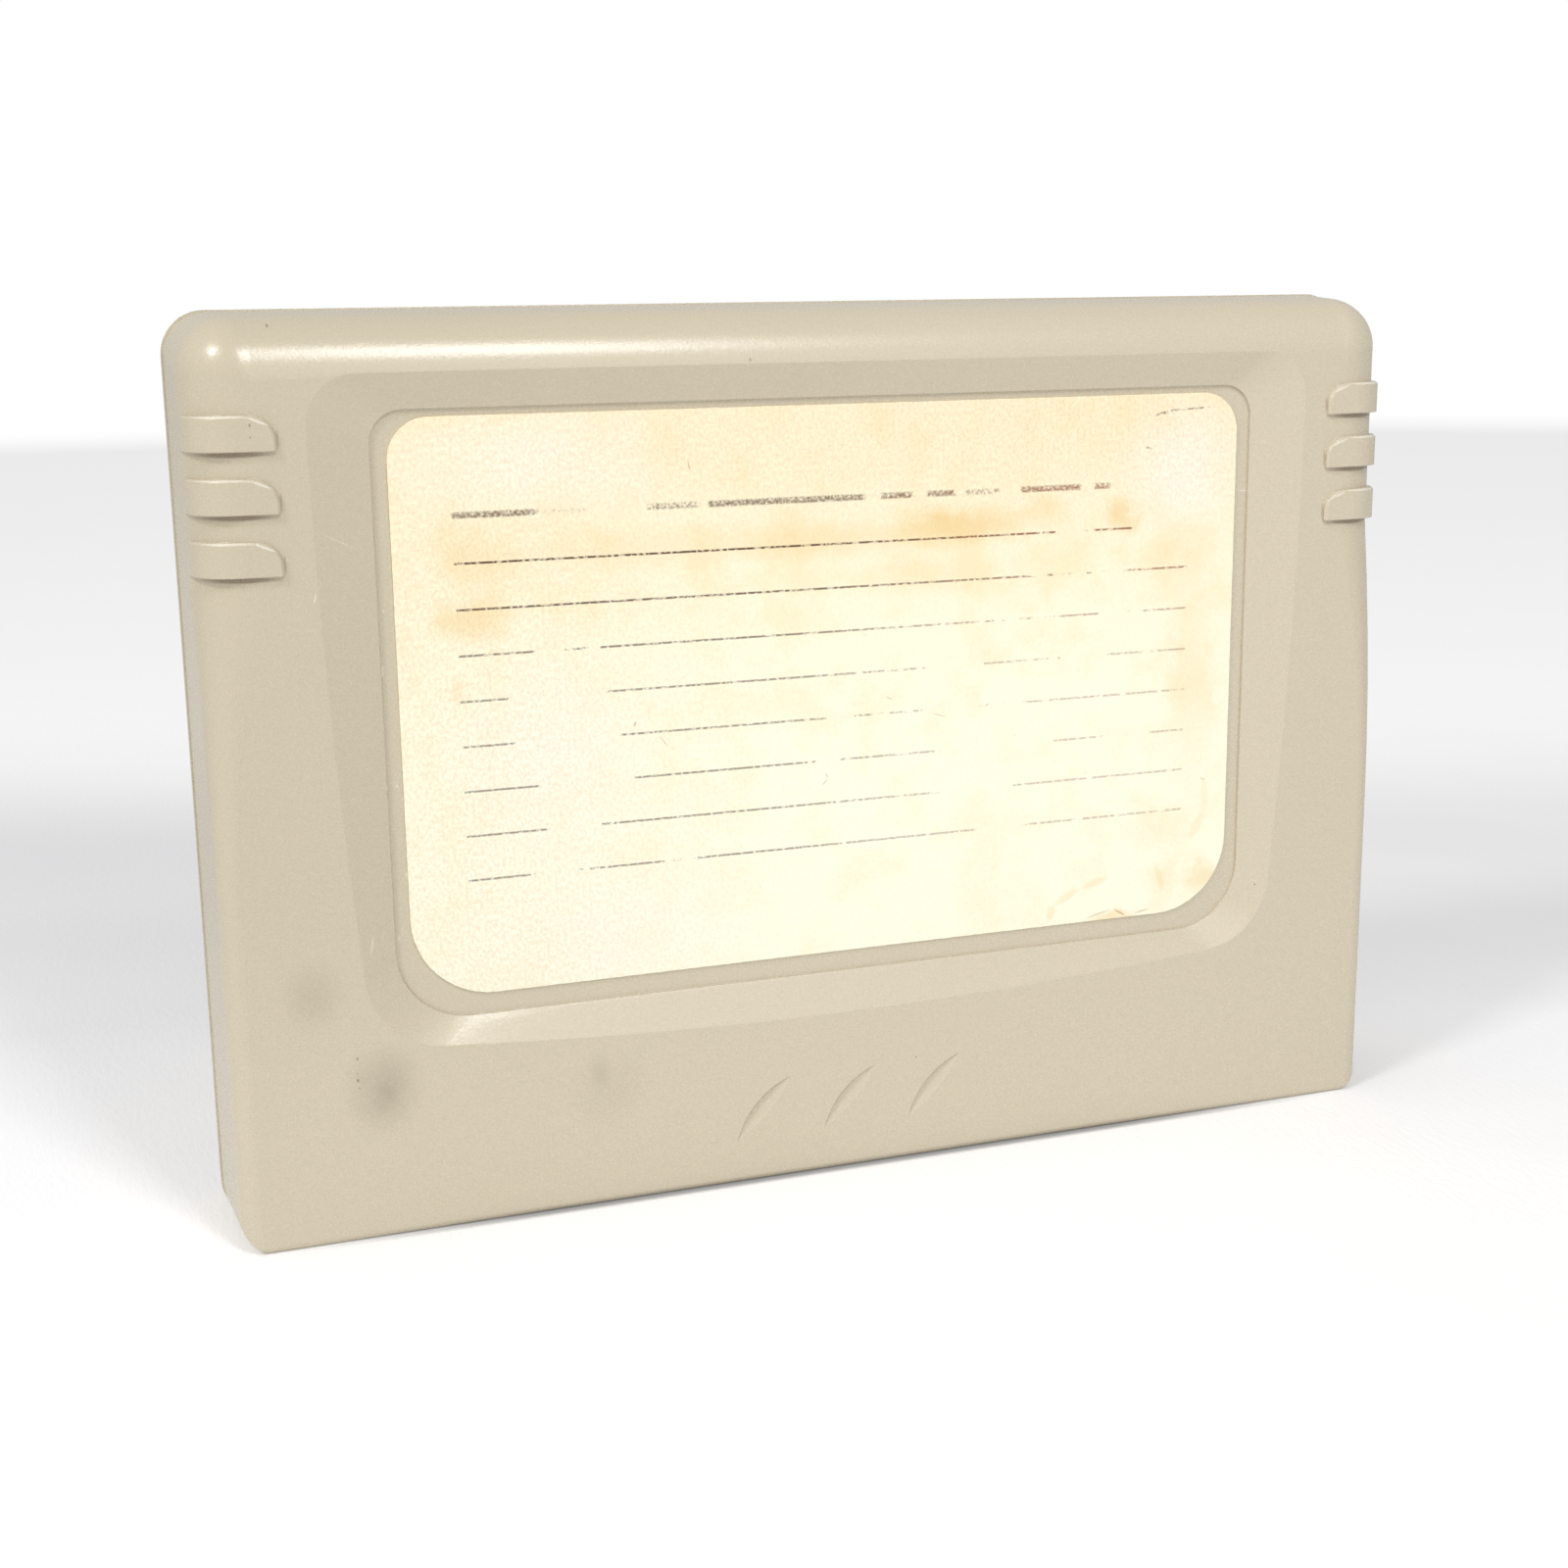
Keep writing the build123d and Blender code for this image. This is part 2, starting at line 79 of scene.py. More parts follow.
# Light: three soft lamps in front, and light from all round that is weaker on the right
AMBIENT = 0.61
AMBIENT_TILT = Vector((-0.6, 0.0, -0.15))
MIRRORED = 0.6
FRONT_LAMP_FROM = Vector((0.15, -0.66, 0.72))
FRONT_LAMP_WATTS = 1.36
FRONT_LAMP_SIZE = (0.12, 0.24)
LEFT_LAMP_FROM = Vector((-0.64, -0.33, 0.7))
LEFT_LAMP_WATTS = 1.2
LEFT_LAMP_SIZE = (0.12, 0.12)
LOW_LAMP_FROM = Vector((0.2, -0.9, 0.33))
LOW_LAMP_WATTS = 0.32
LOW_LAMP_SIZE = (0.3, 0.3)
LAMP_DISTANCE = 0.7

# Cloth: millimetres at which it fades to white, darkens to grey in a band of painted shade and pales again
# behind the card.
# The painted shade and the haze lie across a turned direction, and the painted shade is weaker on the
# right.
CLOTH_FADE = (850.0, 1300.0)
CLOTH_SHADE_BAND = (18.0, 75.0, 112.0, 185.0)
CLOTH_SHADE_RIGHT = (30.0, 90.0)
CLOTH_SHADE_LOSS = 0.4
CLOTH_TURN = radians(20.0)
CLOTH_HAZE = (110.0, 230.0)
CLOTH_HAZE_SHARE = 0.5
CLOTH_GLOW = 0.12
CLOTH_WHITE = (0.93, 0.925, 0.935, 1.0)
CLOTH_SHADE_GREY = (0.74, 0.735, 0.75, 1.0)

# Painted contact shadow: a dark line on the cloth where it meets the card's front edge
CONTACT_SHADOW_STRENGTH = 0.7
CONTACT_SHADOW_COLOUR = (0.05, 0.045, 0.04, 1.0)

# Housing surface: softness of its edges and depth of its grain and swell, in millimetres
EDGE_SOFTNESS = 0.16
GRAIN_DEPTH = 0.011
SWELL_DEPTH = 0.012

# Label sheet: corner radii, the ragged depth of its worn edge and the step between its edge points
SHEET_TOP_RADIUS = 3.5
SHEET_BOTTOM_RADIUS = 7.1
SHEET_RAGGED = 0.07
SHEET_STEP = 0.5
SHEET_ARC_STEPS = 12

# Ruled lines on the label
LINE_COUNT = 8
LINE_PITCH = 3.82
LOWEST_LINE = 10.0
LINE_LEFT = 5.1
LINE_RIGHT = 73.3
TOP_LINE_RIGHT = 67.6
LINE_WEIGHT = 0.17
HEADER_HEIGHT = 40.68
HEADER_WEIGHT = 0.52
HEADER_RIGHT = 65.0

# Where ink has rubbed off: number of the line from below, from, to, share that is gone
LINE_GAPS = [
    (7, 59.9, 61.6, 0.95),
    (7, 61.6, 63.4, 0.4),
    (6, 57.0, 67.0, 0.3),
    (5, 11.0, 17.0, 0.35),
    (5, 52.0, 60.0, 0.25),
    (5, 64.0, 68.0, 0.6),
    (4, 9.2, 18.0, 0.6),
    (4, 38.0, 48.0, 0.15),
    (4, 48.0, 52.2, 0.9),
    (4, 58.0, 65.0, 0.3),
    (3, 9.8, 18.2, 0.95),
    (3, 37.0, 47.0, 0.25),
    (3, 47.0, 57.0, 0.45),
    (2, 11.6, 19.4, 0.9),
    (2, 36.8, 38.4, 0.9),
    (2, 49.0, 59.2, 0.95),
    (2, 65.4, 69.0, 0.8),
    (1, 12.4, 16.4, 0.9),
    (1, 48.8, 50.0, 0.9),
    (1, 50.0, 56.0, 0.3),
    (0, 10.2, 16.4, 0.45),
    (0, 22.0, 25.2, 0.5),
    (0, 52.0, 56.2, 0.5),
]
HEADER_GAPS = [
    (12.0, 16.8, 0.45),
    (16.8, 21.5, 1.0),
    (21.5, 26.2, 0.15),
    (26.2, 26.8, 0.8),
    (41.3, 42.6, 1.0),
    (45.8, 47.0, 0.8),
    (49.8, 50.5, 0.8),
    (50.5, 54.2, 0.25),
    (54.2, 56.0, 1.0),
    (62.2, 63.3, 0.9),
]

# Stains on the label: middle, half sizes, strength
STAINS = [
    ((50.2, 37.7), (9.0, 2.6), 0.8),
    ((37.0, 37.2), (12.0, 2.6), 0.42),
    ((21.0, 37.2), (16.0, 2.8), 0.24),
    ((6.2, 37.4), (4.6, 3.2), 0.36),
    ((47.0, 33.6), (10.0, 2.6), 0.22),
    ((66.3, 38.0), (2.7, 2.3), 0.66),
    ((58.2, 38.8), (4.0, 1.8), 0.32),
    ((6.2, 32.2), (4.6, 2.8), 0.55),
    ((4.8, 26.2), (1.3, 1.6), 0.42),
    ((72.4, 33.6), (5.0, 5.0), 0.24),
    ((73.8, 22.0), (4.4, 13.0), 0.26),
    ((72.0, 8.8), (5.4, 3.0), 0.2),
    ((75.4, 3.4), (2.2, 2.2), 0.45),
    ((71.6, 3.6), (2.0, 2.4), 0.22),
    ((66.0, 0.2), (3.6, 0.8), 0.5),
]

# Paler patches of the label where its surface is rubbed: middle, half sizes, strength
PALE_PATCHES = [
    ((12.0, 44.6), (16.0, 6.0), 0.6),
    ((72.6, 42.0), (8.0, 8.0), 0.8),
    ((12.4, 19.6), (11.0, 13.0), 0.55),
    ((16.4, 3.8), (18.0, 8.0), 0.6),
]

# Soft folds of the label: from, to, width, strength
FOLDS = [
    ((59.3, 0.2), (60.0, 2.2), 1.1, 0.4),
    ((59.8, 1.9), (62.8, 3.4), 1.1, 0.4),
    ((62.4, 3.2), (66.0, 4.2), 1.0, 0.36),
    ((70.6, 4.9), (71.6, 1.9), 0.9, 0.4),
    ((74.0, 6.6), (75.8, 9.8), 1.2, 0.3),
    ((75.8, 9.4), (75.5, 13.0), 1.1, 0.25),
]

# Fine torn edges and hairs on the label: from, to, width, strength
CREASES = [
    ((63.0, 0.25), (66.3, 1.0), 0.26, 0.4),
    ((66.1, 1.0), (67.7, 0.05), 0.26, 0.6),
    ((68.4, 0.25), (70.2, 0.6), 0.3, 0.35),
    ((36.9, 15.4), (37.6, 16.0), 0.14, 0.5),
    ((37.6, 16.0), (37.3, 16.6), 0.14, 0.5),
    ((22.0, 21.2), (23.0, 20.0), 0.14, 0.4),
    ((19.9, 22.0), (20.1, 22.6), 0.26, 0.6),
    ((43.0, 23.0), (43.9, 22.6), 0.14, 0.4),
    ((47.4, 21.2), (49.2, 20.6), 0.14, 0.35),
    ((25.2, 44.6), (25.4, 43.4), 0.16, 0.5),
    ((75.0, 12.9), (75.8, 12.5), 0.22, 0.3),
]

# Dark scuffs in the label's upper right corner: from, to, width
SCUFFS = [
    ((68.9, 46.7), (72.6, 47.4), 0.4),
    ((71.8, 47.2), (75.6, 47.4), 0.26),
    ((68.4, 44.0), (69.4, 43.8), 0.2),
]

# Grip ribs: their ends from the card's middle, and their heights from the label's lower edge
RIB_COUNT = 3
RIB_PITCH = 4.9
RIB_WIDTH = 2.8
RIB_INNER = 47.7
RIB_OUTER = 55.1
LOWEST_RIB = 36.65

# Grey smudges on the housing: middle, half sizes, strength
SMUDGES = [
    ((-3.1, -6.9), (4.1, 4.9), 0.46),
    ((-3.2, -7.6), (1.7, 1.8), 0.14),
    ((-8.6, 1.8), (3.6, 3.9), 0.22),
    ((16.4, -9.6), (4.6, 4.4), 0.13),
    ((15.6, -8.0), (1.4, 1.9), 0.2),
]

# Dark specks on the housing: middle, radius
SPECKS = [
    ((-5.2, -4.0), 0.12),
    ((-5.25, -5.3), 0.08),
    ((-5.25, -5.9), 0.15),
    ((-5.15, -6.6), 0.08),
    ((-10.7, 48.5), 0.12),
    ((-10.7, 47.6), 0.08),
    ((-8.6, 56.0), 0.14),
    ((30.5, 52.6), 0.13),
    ((45.5, -10.6), 0.1),
    ((81.0, 2.0), 0.1),
]

# Light scratches and fibres on the housing: from, to, width
SCRATCHES = [
    ((-6.0, 40.0), (-2.0, 38.0), 0.07),
    ((-3.6, 4.4), (-3.2, 6.6), 0.18),
    ((-6.6, 34.2), (-6.3, 35.2), 0.2),
    ((78.3, 39.7), (79.6, 39.6), 0.2),
]


def paint(red, green, blue):
    """A colour given on the screen's scale of 0 to 255."""
    shares = [channel / 255 for channel in (red, green, blue)]
    linear = [c / 12.92 if c <= 0.04045 else ((c + 0.055) / 1.055) ** 2.4 for c in shares]
    return (*linear, 1.0)


class Tree:
    """A node tree being wired: inputs may be numbers, colours or other nodes' outputs."""

    def __init__(self, tree):
        self.tree = tree

    def put(self, socket, value):
        if isinstance(value, bpy.types.NodeSocket):
            self.tree.links.new(value, socket)
        else:
            socket.default_value = value

    def node(self, kind, inputs=None, **settings):
        node = self.tree.nodes.new("ShaderNode" + kind)
        for name, value in settings.items():
            setattr(node, name, value)
        for key, value in (inputs or {}).items():
            self.put(node.inputs[key], value)
        return node

    def math(self, operation, *values):
        node = self.node("Math", dict(enumerate(values)), operation=operation)
        return node.outputs[0]

    def product(self, *values):
        result = values[0]
        for value in values[1:]:
            result = self.math("MULTIPLY", result, value)
        return result

    def total(self, values):
        result = values[0]
        for value in values[1:]:
            result = self.math("ADD", result, value)
        return result

    def inverse(self, value):
        return self.math("SUBTRACT", 1.0, value)

    def rise(self, value, low, high):
        """0 below low, 1 above high, and a smooth step between."""
        limits = {"Value": value, "From Min": low, "From Max": high}
        return self.node("MapRange", limits, interpolation_type="SMOOTHSTEP").outputs[0]

    def fall(self, value, low, high):
        return self.inverse(self.rise(value, low, high))

    def span(self, value, low, high, soft):
        """1 between low and high, with soft ends."""
        return self.product(
            self.rise(value, low - soft, low + soft), self.fall(value, high - soft, high + soft)
        )

    def mix(self, share, first, second, blend="MIX"):
        node = self.node("Mix", data_type="RGBA", blend_type=blend)
        for index, value in ((0, share), (6, first), (7, second)):
            self.put(node.inputs[index], value)
        return node.outputs[2]

    def noise(self, where, scale, detail=3.0, roughness=0.55, distortion=0.0):
        inputs = {"Vector": where, "Scale": scale, "Detail": detail}
        inputs.update({"Roughness": roughness, "Distortion": distortion})
        return self.node("TexNoise", inputs).outputs[0]

    def stretch(self, where, amounts):
        return self.node("VectorMath", {0: where, 1: amounts}, operation="MULTIPLY").outputs[0]

    def blot(self, across, up, middle, half_sizes, core=0.0):
        """1 at a spot's middle, falling to 0 at its rim."""
        a = self.math("DIVIDE", self.math("SUBTRACT", across, middle[0]), half_sizes[0])
        b = self.math("DIVIDE", self.math("SUBTRACT", up, middle[1]), half_sizes[1])
        distance = self.math("SQRT", self.total([self.product(a, a), self.product(b, b)]))
        return self.fall(distance, core, 1.0)

    def stroke(self, across, up, start, end, width):
        """1 on a straight stroke from start to end, pointed at both ends."""
        length = hypot(end[0] - start[0], end[1] - start[1])
        run = ((end[0] - start[0]) / length, (end[1] - start[1]) / length)
        a = self.math("SUBTRACT", across, (start[0] + end[0]) / 2)
        b = self.math("SUBTRACT", up, (start[1] + end[1]) / 2)
        along = self.total([self.product(a, run[0]), self.product(b, run[1])])
        aside = self.total([self.product(a, -run[1]), self.product(b, run[0])])
        return self.blot(along, aside, (0.0, 0.0), (length / 2, width / 2), core=0.4)

    def blots(self, across, up, spots, core=0.0):
        """Spots of different strengths, added up."""
        return self.total(
            [self.product(self.blot(across, up, *spot, core), strength) for *spot, strength in spots]
        )

    def strokes(self, across, up, lines):
        """Straight strokes of different strengths, added up."""
        return self.total(
            [self.product(self.stroke(across, up, *line), strength) for *line, strength in lines]
        )

    def bump(self, height, depth, strength=1.0, base=None):
        inputs = {"Height": height, "Distance": depth, "Strength": strength}
        if base is not None:
            inputs["Normal"] = base
        return self.node("Bump", inputs).outputs[0]


class Look(Tree):
    """A material being made."""

    def __init__(self, name):
        self.material = bpy.data.materials.new(name)
        self.material.use_nodes = True
        super().__init__(self.material.node_tree)
        self.shader = self.tree.nodes["Principled BSDF"]

    def front_place(self):
        """The place in millimetres from the label's lower left corner, whole and as three numbers."""
        place = self.node("TexCoord").outputs["Object"]
        shifted = self.node("VectorMath", {0: place, 1: label_low}, operation="SUBTRACT").outputs[0]
        where = self.stretch(shifted, (1 / MM, 1 / MM, 1 / MM))
        return where, self.node("SeparateXYZ", {0: where}).outputs

    def finish(self, **inputs):
        for name, value in inputs.items():
            self.put(self.shader.inputs[name.replace("_", " ").title().replace("Ior", "IOR")], value)
        return self.material


def rib_marks(look, across, up):
    """Where the grip ribs are, the dark lines below and beside them, painted shadow with some dirt, and the
    pale line along their tops, a painted highlight on a rubbed edge.
    """
    middle = (label_high - label_low).x / MM / 2
    out = look.math("ABSOLUTE", look.math("SUBTRACT", across, middle))
    above = look.math("SUBTRACT", up, LOWEST_RIB)
    index = look.math("ROUND", look.math("DIVIDE", look.math("SUBTRACT", above, RIB_WIDTH / 2), RIB_PITCH))
    index = look.math("MINIMUM", look.math("MAXIMUM", index, 0.0), RIB_COUNT - 1.0)
    height = look.math("SUBTRACT", above, look.product(index, RIB_PITCH))
    reach = look.rise(out, RIB_INNER - 0.05, RIB_INNER + 0.05)
    ribs = look.product(look.span(height, 0.0, RIB_WIDTH, 0.05), reach)
    # Painted shadow with some dirt: dark strokes below each rib and beside its inner end
    below = look.stroke(out, height, (RIB_INNER - 0.3, -0.2), (RIB_OUTER - 0.4, -0.24), 0.6)
    end_shadow_and_dirt = look.stroke(out, height, (RIB_INNER - 0.1, -0.1), (RIB_INNER - 0.1, 1.9), 0.3)
    shadow_and_dirt = look.total([look.product(below, 0.7), look.product(end_shadow_and_dirt, 0.3)])
    # Painted highlight on a rubbed edge: a pale stroke along each rib's top and round its inner corner
    top = RIB_WIDTH - 0.1
    along = look.stroke(out, height, (RIB_INNER + 1.6, top), (RIB_OUTER - 0.6, top), 0.26)
    corner = look.stroke(out, height, (RIB_INNER + 2.4, top + 0.04), (RIB_INNER + 0.35, top - 0.8), 0.26)
    return ribs, shadow_and_dirt, look.math("MAXIMUM", along, corner)


def housing():
    """Moulded plastic with a fine grain, a little uneven in tone, smudged and specked, darker towards the
    left as painted shade and paler towards the bottom as painted bounce light, with painted shadow and
    highlight at the grip ribs.
    """
    look = Look("housing_plastic")
    where, (across, depth, up) = look.front_place()
    # Darker towards the left and lighter to the right, a painted shade, wavered by a random unevenness in
    # tone
    tone = look.noise(where, 0.045, detail=2.0)
    left_shade_and_tone = look.math("ADD", across, look.product(look.math("SUBTRACT", tone, 0.5), 60.0))
    colour = look.mix(look.rise(left_shade_and_tone, -20.0, 80.0), paint(200, 189, 164), paint(207, 196, 172))
    # Paler towards the bottom of the front: painted bounce light from the cloth
    colour = look.mix(look.product(look.fall(up, -12.0, 14.0), 0.5), colour, paint(211, 200, 177))
    front = look.fall(depth, 3.0, 5.0)
    ragged = look.rise(look.noise(where, 0.3, detail=3.0), 0.25, 0.65)
    grime = look.product(look.blots(across, up, SMUDGES), look.math("ADD", 0.7, look.product(ragged, 0.3)))
    colour = look.mix(look.product(grime, front), colour, paint(142, 132, 113))
    specks = [look.blot(across, up, middle, (radius, 1.5 * radius), 0.3) for middle, radius in SPECKS]
    colour = look.mix(look.product(look.total(specks), front, 0.7), colour, paint(112, 100, 82))
    marks = [look.stroke(across, up, *scratch) for scratch in SCRATCHES]
    fuzz_place = look.product(look.span(across, -1.4, 0.1, 0.2), look.span(up, 3.0, 36.0, 2.0))
    fuzz = look.rise(look.noise(look.stretch(where, (1.0, 1.0, 0.55)), 1.4, detail=4.0), 0.6, 0.7)
    marks.append(look.product(fuzz_place, fuzz))
    colour = look.mix(look.product(look.total(marks), front, 0.55), colour, paint(240, 234, 220))
    # Painted shadow with some dirt under and beside each grip rib, and a painted highlight on the rubbed
    # top edge of each rib
    ribs, shadow_and_dirt, rubbed = rib_marks(look, across, up)
    colour = look.mix(look.product(shadow_and_dirt, front), colour, paint(116, 94, 68))
    colour = look.mix(look.product(rubbed, front, 0.6), colour, paint(246, 240, 224))
    grain = look.noise(where, 4.0, detail=2.0, roughness=0.6)
    swell = look.noise(where, 0.35, detail=1.0)
    soft_edges = look.node("Bevel", {"Radius": EDGE_SOFTNESS * MM}, samples=6).outputs[0]
    normal = look.bump(swell, SWELL_DEPTH * MM, base=soft_edges)
    grained = look.product(look.fall(depth, -0.6, 2.0), look.inverse(ribs))
    height = look.product(grain, look.math("ADD", 0.15, look.product(grained, 0.85)))
    normal = look.bump(height, GRAIN_DEPTH * MM, base=normal)
    roughness = look.math("ADD", 0.22, look.product(grain, 0.1))
    return look.finish(base_color=colour, roughness=roughness, normal=normal, specular_ior_level=0.9)


def label_paper():
    """Aged coated paper with rubbed print lines, brown stains and fine fibres."""
    look = Look("label_paper")
    where, (across, depth, up) = look.front_place()
    colour = look.mix(look.rise(up, 16.0, 47.0), paint(255, 255, 233), paint(254, 244, 212))
    cloud = look.noise(where, 0.16, detail=6.0, roughness=0.66)
    aged = look.math("ADD", 0.25, look.product(look.rise(up, 16.0, 40.0), 0.3))
    colour = look.mix(look.product(look.rise(cloud, 0.42, 0.68), aged), colour, paint(250, 230, 180))

    ragged = look.noise(where, 0.4, detail=6.0, roughness=0.66)
    shift = look.product(look.math("SUBTRACT", ragged, 0.5), 6.0)
    ragged_across = look.math("ADD", across, shift)
    ragged_up = look.math("SUBTRACT", up, look.product(shift, 0.5))
    stain = look.blots(ragged_across, ragged_up, STAINS, 0.1)
    stain = look.product(stain, look.math("ADD", 0.6, look.product(ragged, 0.9)))
    colour = look.mix(look.math("MINIMUM", stain, 0.9), colour, paint(245, 214, 152))
    pale = look.blots(ragged_across, ragged_up, PALE_PATCHES, 0.1)
    colour = look.mix(look.math("MINIMUM", pale, 0.8), colour, paint(255, 252, 239))

    flecks = look.rise(look.noise(look.stretch(where, (1.0, 1.0, 1.6)), 1.5, detail=2.0), 0.68, 0.8)
    colour = look.mix(look.product(flecks, 0.25), colour, paint(206, 166, 126))
    fibres = look.noise(look.stretch(where, (1.4, 1.0, 1.1)), 2.4, detail=4.0, roughness=0.75)
    rough = look.math("MAXIMUM", look.fall(across, 4.0, 40.0), look.rise(up, 32.0, 46.0))
    rough = look.math("ADD", 0.14, look.product(rough, 0.36))
    colour = look.mix(look.product(look.rise(fibres, 0.36, 0.66), rough), colour, paint(230, 206, 166))
    folds = look.strokes(across, up, FOLDS)
    colour = look.mix(look.math("MINIMUM", folds, 0.6), colour, paint(246, 222, 172))
    creases = look.strokes(across, up, CREASES)
    colour = look.mix(look.math("MINIMUM", creases, 0.8), colour, paint(190, 140, 96))
    ink = look.math("MAXIMUM", ruled_lines(look, where, across, up), header_bar(look, where, across, up))
    ink_colour = look.mix(look.rise(across, 30.0, 68.0), paint(92, 60, 44), paint(150, 84, 54))
    colour = look.mix(ink, colour, ink_colour)
    scuffs = [look.stroke(across, up, *scuff) for scuff in SCUFFS]
    worn = look.rise(look.noise(where, 1.8, detail=3.0), 0.4, 0.55)
    colour = look.mix(look.product(look.total(scuffs), worn, 0.7), colour, paint(132, 104, 78))
    relief = look.bump(fibres, 0.03 * MM)
    relief = look.bump(look.noise(where, 0.22, detail=2.0), 0.1 * MM, base=relief)
    return look.finish(base_color=colour, roughness=0.62, normal=relief, specular_ior_level=0.3)


def ruled_lines(look, where, across, up):
    """How much ink each ruled line still has."""
    number = look.math("DIVIDE", look.math("SUBTRACT", up, LOWEST_LINE), LINE_PITCH)
    nearest = look.math("ROUND", number)
    distance = look.product(look.math("ABSOLUTE", look.math("SUBTRACT", number, nearest)), LINE_PITCH)
    line = look.fall(distance, LINE_WEIGHT * 0.3, LINE_WEIGHT * 0.75)
    line = look.product(line, look.span(nearest, -0.5, LINE_COUNT - 0.5, 0.25))
    right = look.mix(look.rise(nearest, 6.4, 6.6), (LINE_RIGHT,) * 4, (TOP_LINE_RIGHT,) * 4)
    ends = look.product(
        look.rise(across, LINE_LEFT - 0.1, LINE_LEFT + 0.1),
        look.rise(look.math("SUBTRACT", right, across), 0.0, 0.3),
    )
    gone = []
    for line_number, start, end, share in LINE_GAPS:
        on_line = look.span(nearest, line_number - 0.5, line_number + 0.5, 0.25)
        gone.append(look.product(look.span(across, start, end, 1.0), on_line, share))
    upper = look.rise(nearest, 4.0, 7.0)
    faded = look.math("SUBTRACT", 0.6, look.product(upper, 0.45))
    paling = look.product(look.rise(across, 30.0, 50.0), faded)
    dashes = look.noise(look.stretch(where, (1.0, 1.0, 1.3)), 0.8, detail=4.0, roughness=0.75)
    loss = look.math("MINIMUM", look.total(gone), 1.0)
    limit = look.total([0.36, look.product(paling, 0.1), look.product(loss, 0.4)])
    kept = look.rise(look.math("SUBTRACT", dashes, limit), 0.0, 0.07)
    grit = look.noise(where, 2.6, detail=2.0)
    kept = look.product(kept, look.math("ADD", 0.3, look.product(look.rise(grit, 0.4, 0.5), 0.7)))
    strength = look.math("ADD", 0.7, look.product(upper, 0.28))
    return look.product(line, ends, kept, strength, look.inverse(look.product(paling, 0.6)))


def header_bar(look, where, across, up):
    """How much ink the heavy line under the heading still has."""
    bar = look.span(up, HEADER_HEIGHT - HEADER_WEIGHT / 2, HEADER_HEIGHT + HEADER_WEIGHT / 2, 0.1)
    ends = look.span(across, LINE_LEFT, HEADER_RIGHT, 0.2)
    gone = []
    for start, end, share in HEADER_GAPS:
        gone.append(look.product(look.span(across, start, end, 0.4), share))
    thinning = look.product(look.rise(up, HEADER_HEIGHT - 0.1, HEADER_HEIGHT + 0.3), 0.04)
    rubbed = look.noise(where, 3.4, detail=4.0, roughness=0.75)
    limit = look.total([0.3, thinning, look.product(look.math("MINIMUM", look.total(gone), 1.0), 0.4)])
    kept = look.rise(look.math("SUBTRACT", rubbed, limit), 0.0, 0.3)
    return look.product(bar, ends, kept, 0.85)


def label_sheet():
    """The label's paper, with its worn edge and rounder corners, in place of its plain solid."""
    width, height = ((label_high - label_low) / MM).xz
    low, high = SHEET_BOTTOM_RADIUS, SHEET_TOP_RADIUS
    corners = [
        ((width - low, low), low, -90.0),
        ((width - high, height - high), high, 0.0),
        ((high, height - high), high, 90.0),
        ((low, low), low, 180.0),
    ]
    turns = []
    for middle, radius, start in corners:
        arc = [radians(start + 90.0 * step / SHEET_ARC_STEPS) for step in range(SHEET_ARC_STEPS + 1)]
        turns.extend(Vector((middle[0] + radius * cos(a), middle[1] + radius * sin(a))) for a in arc)
    edge = []
    for here, there in zip(turns, turns[1:] + turns[:1]):
        steps = max(1, round((there - here).length / SHEET_STEP))
        edge.extend(here.lerp(there, step / steps) for step in range(steps))
    middle = Vector((width, height)) / 2
    mesh = bmesh.new()
    front = []
    for point in edge:
        worn = SHEET_RAGGED * (0.5 + 0.5 * noise.noise(Vector((point.x * 1.7, 0.0, point.y * 1.7))))
        inward = (middle - point).normalized() * worn
        place = Vector((point.x + inward.x, 0.0, point.y + inward.y)) * MM
        front.append(mesh.verts.new(label_low + place))
    face = mesh.faces.new(front)
    depth = Vector((0.0, label_high.y - label_low.y, 0.0))
    back = bmesh.ops.extrude_face_region(mesh, geom=[face])["geom"]
    moved = [item for item in back if isinstance(item, bmesh.types.BMVert)]
    bmesh.ops.translate(mesh, vec=depth, verts=moved)
    bmesh.ops.recalc_face_normals(mesh, faces=mesh.faces[:])
    data = bpy.data.meshes.new("label_sheet")
    mesh.to_mesh(data)
    mesh.free()
    sheet = bpy.data.objects.new("label_sheet", data)
    bpy.context.collection.objects.link(sheet)
    data.materials.append(finishes["label_paper"])
    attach(sheet, "root")
    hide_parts("label")


def circuit_laminate():
    """Green solder mask with the faint relief of copper tracks."""
    look = Look("circuit_laminate")
    where = look.front_place()[0]
    tracks = look.node("TexBrick", {"Vector": where, "Scale": 0.35, "Mortar Size": 0.06}, offset=0.37)
    copper = tracks.outputs["Fac"]
    colour = look.mix(copper, paint(28, 92, 52), paint(46, 118, 66))
    weave = look.noise(where, 1.6, detail=2.0)
    colour = look.mix(look.product(weave, 0.25), colour, paint(18, 66, 38))
    relief = look.bump(copper, 0.03 * MM)
    return look.finish(base_color=colour, roughness=0.32, normal=relief)


def metal(name, light, dark, roughness, brush):
    """Plated or bare metal, brushed along the given direction and dulled in patches."""
    look = Look(name)
    where = look.front_place()[0]
    strokes = look.noise(look.stretch(where, brush), 3.0, detail=3.0)
    patches = look.noise(where, 0.6, detail=3.0)
    colour = look.mix(look.rise(patches, 0.35, 0.7), light, dark)
    rough = look.math("ADD", roughness, look.product(strokes, 0.16))
    relief = look.bump(strokes, 0.006 * MM)
    return look.finish(base_color=colour, metallic=1.0, roughness=rough, normal=relief)


